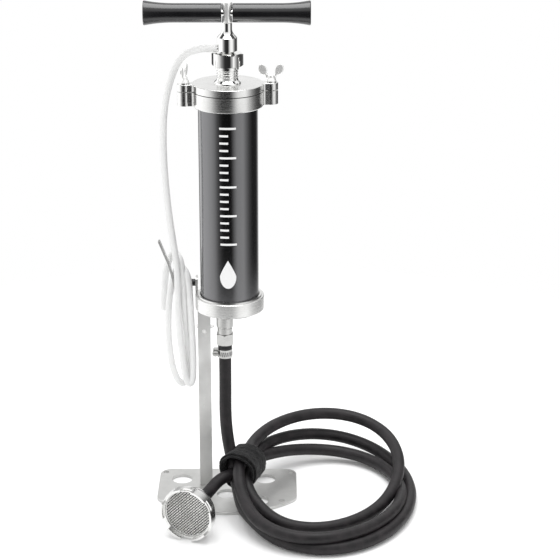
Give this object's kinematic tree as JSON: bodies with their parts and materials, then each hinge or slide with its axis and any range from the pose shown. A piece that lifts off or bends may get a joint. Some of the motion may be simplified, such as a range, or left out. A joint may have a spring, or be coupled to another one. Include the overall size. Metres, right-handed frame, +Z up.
{
  "type": "pump water filter",
  "caption": "Floor-standing hand pump water filter: steel barrel on a foot plate, T-handle piston pump, candle inside, suction hose with strainer and outlet hose.",
  "frame": {"origin": "on the floor, under the axis of the barrel, on the foot plate's underside", "axes": "+Z up along the barrel's axis, -Y the front, +X to the right of a person in front"},
  "size_m": [0.321, 0.313, 0.6005],
  "materials": {
    "polished_steel": "mirror-polished stainless steel",
    "satin_steel": "satin turned stainless steel",
    "sheet_steel": "bead-blasted stainless sheet",
    "black_screw": "blackened steel",
    "barrel_paint": "satin dark grey coating",
    "grip_plastic": "satin black moulded plastic",
    "hose_rubber": "matt black rubber hose",
    "seal_rubber": "black nitrile",
    "clear_hose": "milky translucent silicone",
    "strap_fabric": "black hook-and-loop tape",
    "mesh_wire": "woven stainless wire",
    "ceramic": "unglazed filter ceramic",
    "white_plastic": "white moulded plastic"
  },
  "bodies": {
    "stand": {"foot_plate": "sheet_steel", "stand_post": "sheet_steel", "post_bracket": "sheet_steel", "post_stud": "satin_steel", "base_cap": "satin_steel", "base_gasket": "seal_rubber", "barrel": "barrel_paint", "top_ring": "satin_steel", "lid_studs": "satin_steel", "lid_gasket": "seal_rubber", "hook_tab": "sheet_steel", "hose_hook": "sheet_steel", "hook_screw": "black_screw", "inlet_nipple": "polished_steel", "coupling_nut": "satin_steel", "hose_tail": "satin_steel", "hose_sleeve": "hose_rubber", "clamp_band": "polished_steel", "clamp_screw": "polished_steel", "suction_hose_drop": "hose_rubber", "suction_hose_coil": "hose_rubber", "suction_hose_tail": "hose_rubber", "coil_strap": "strap_fabric", "strainer_stem": "satin_steel", "strainer_bell": "satin_steel", "strainer_rim": "satin_steel", "strainer_mesh": "mesh_wire"},
    "lid": {"lid": "polished_steel", "threaded_neck": "polished_steel", "union_nut": "polished_steel", "head_seal": "seal_rubber", "outlet_head": "polished_steel", "gland_bush": "white_plastic", "rod_seal": "seal_rubber", "pump_cylinder": "white_plastic", "ceramic_candle": "ceramic", "candle_bottom_cap": "white_plastic", "candle_top_cap": "white_plastic", "candle_gasket": "seal_rubber", "foot_valve_seat": "white_plastic", "foot_valve_cage": "white_plastic", "outlet_hose_riser": "clear_hose", "outlet_hose_hank": "clear_hose", "outlet_hose_end": "clear_hose"},
    "piston": {"piston": "white_plastic", "piston_seal": "seal_rubber", "piston_crown": "white_plastic"},
    "handle": {"piston_rod": "polished_steel", "handle_hub": "polished_steel", "crossbar": "satin_steel", "grip_left": "grip_plastic", "grip_right": "grip_plastic"},
    "foot_ball": {"foot_valve_ball": "satin_steel"},
    "piston_ball": {"piston_valve_ball": "satin_steel"},
    "left_washer": {"lid_washer_left": "satin_steel"},
    "left_nut": {"lid_wing_nut_left": "polished_steel"},
    "right_washer": {"lid_washer_right": "satin_steel"},
    "right_nut": {"lid_wing_nut_right": "polished_steel"},
    "post_washer": {"post_washer": "satin_steel"},
    "post_nut": {"post_wing_nut": "satin_steel"}
  },
  "joints": [
    {"name": "lid_lift", "type": "slide", "parent": "stand", "child": "lid", "axis": [0, 0, 1], "range_m": [0, 0.255]},
    {"name": "pump_stroke", "type": "slide", "parent": "lid", "child": "piston", "axis": [0, 0, 1], "range_m": [0, 0.155]},
    {"name": "handle_turn", "type": "hinge", "parent": "piston", "child": "handle", "pos_m": [0, 0, 0.5867], "axis": [0, 0, 1], "continuous": true},
    {"name": "foot_valve_lift", "type": "slide", "parent": "lid", "child": "foot_ball", "axis": [0, 0, 1], "range_m": [0, 0.003]},
    {"name": "piston_valve_lift", "type": "slide", "parent": "piston", "child": "piston_ball", "axis": [0, 0, 1], "range_m": [0, 0.003]},
    {"name": "left_nut_climb", "type": "slide", "parent": "lid", "child": "left_washer", "axis": [0, 0, 1], "range_m": [0, 0.00401]},
    {"name": "left_nut_turn", "type": "hinge", "parent": "left_washer", "child": "left_nut", "pos_m": [-0.04881, -0.00427, 0.5085], "axis": [0, 0, 1], "range_deg": [0, 1440]},
    {"name": "right_nut_climb", "type": "slide", "parent": "lid", "child": "right_washer", "axis": [0, 0, 1], "range_m": [0, 0.00401]},
    {"name": "right_nut_turn", "type": "hinge", "parent": "right_washer", "child": "right_nut", "pos_m": [0.04881, 0.00427, 0.5085], "axis": [0, 0, 1], "range_deg": [0, 1440]},
    {"name": "post_nut_climb", "type": "slide", "parent": "stand", "child": "post_washer", "axis": [0, 1, 0], "range_m": [0, 0.00241]},
    {"name": "post_nut_turn", "type": "hinge", "parent": "post_washer", "child": "post_nut", "pos_m": [-0.031, 0.017, 0.204], "axis": [0, 1, 0], "range_deg": [0, 1080]}
  ],
  "couplings": [
    {"joint": "left_nut_climb", "follows": "left_nut_turn", "m_per_rad": 0.00015915},
    {"joint": "right_nut_climb", "follows": "right_nut_turn", "m_per_rad": 0.00015915},
    {"joint": "post_nut_climb", "follows": "post_nut_turn", "m_per_rad": 0.00012732}
  ]
}
